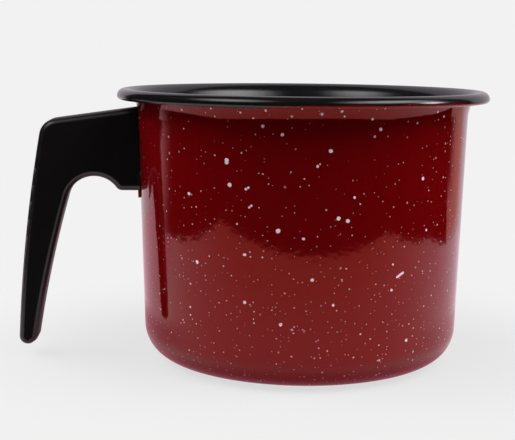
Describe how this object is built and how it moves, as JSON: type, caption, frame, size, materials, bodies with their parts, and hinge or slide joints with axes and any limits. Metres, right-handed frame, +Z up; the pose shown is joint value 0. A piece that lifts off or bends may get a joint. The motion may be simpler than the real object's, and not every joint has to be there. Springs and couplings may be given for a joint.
{
  "type": "milk pot",
  "caption": "Deep straight-sided enamelled steel pot with flared rolled rim and one black moulded side handle screwed to a welded bracket, for heating milk or water on a hob",
  "frame": {"origin": "centre of the base, on the plane that the pot stands on, on the pot's axis", "axes": "+Z up out of the mouth, -X towards the handle, +Y completes a right-handed frame"},
  "size_m": [0.2026, 0.1598, 0.1166],
  "materials": {
    "enamel_red": "glossy vitreous enamel on steel, dark red with white specks outside, black inside and on the rim",
    "handle_black": "satin black moulded phenolic",
    "zinc_steel": "bright zinc plated steel"
  },
  "bodies": {
    "root": {"pot_body": "enamel_red", "handle_bracket": "enamel_red", "bracket_nut": "zinc_steel", "handle": "handle_black", "handle_screw": "zinc_steel", "lock_washer": "zinc_steel"}
  },
  "joints": []
}
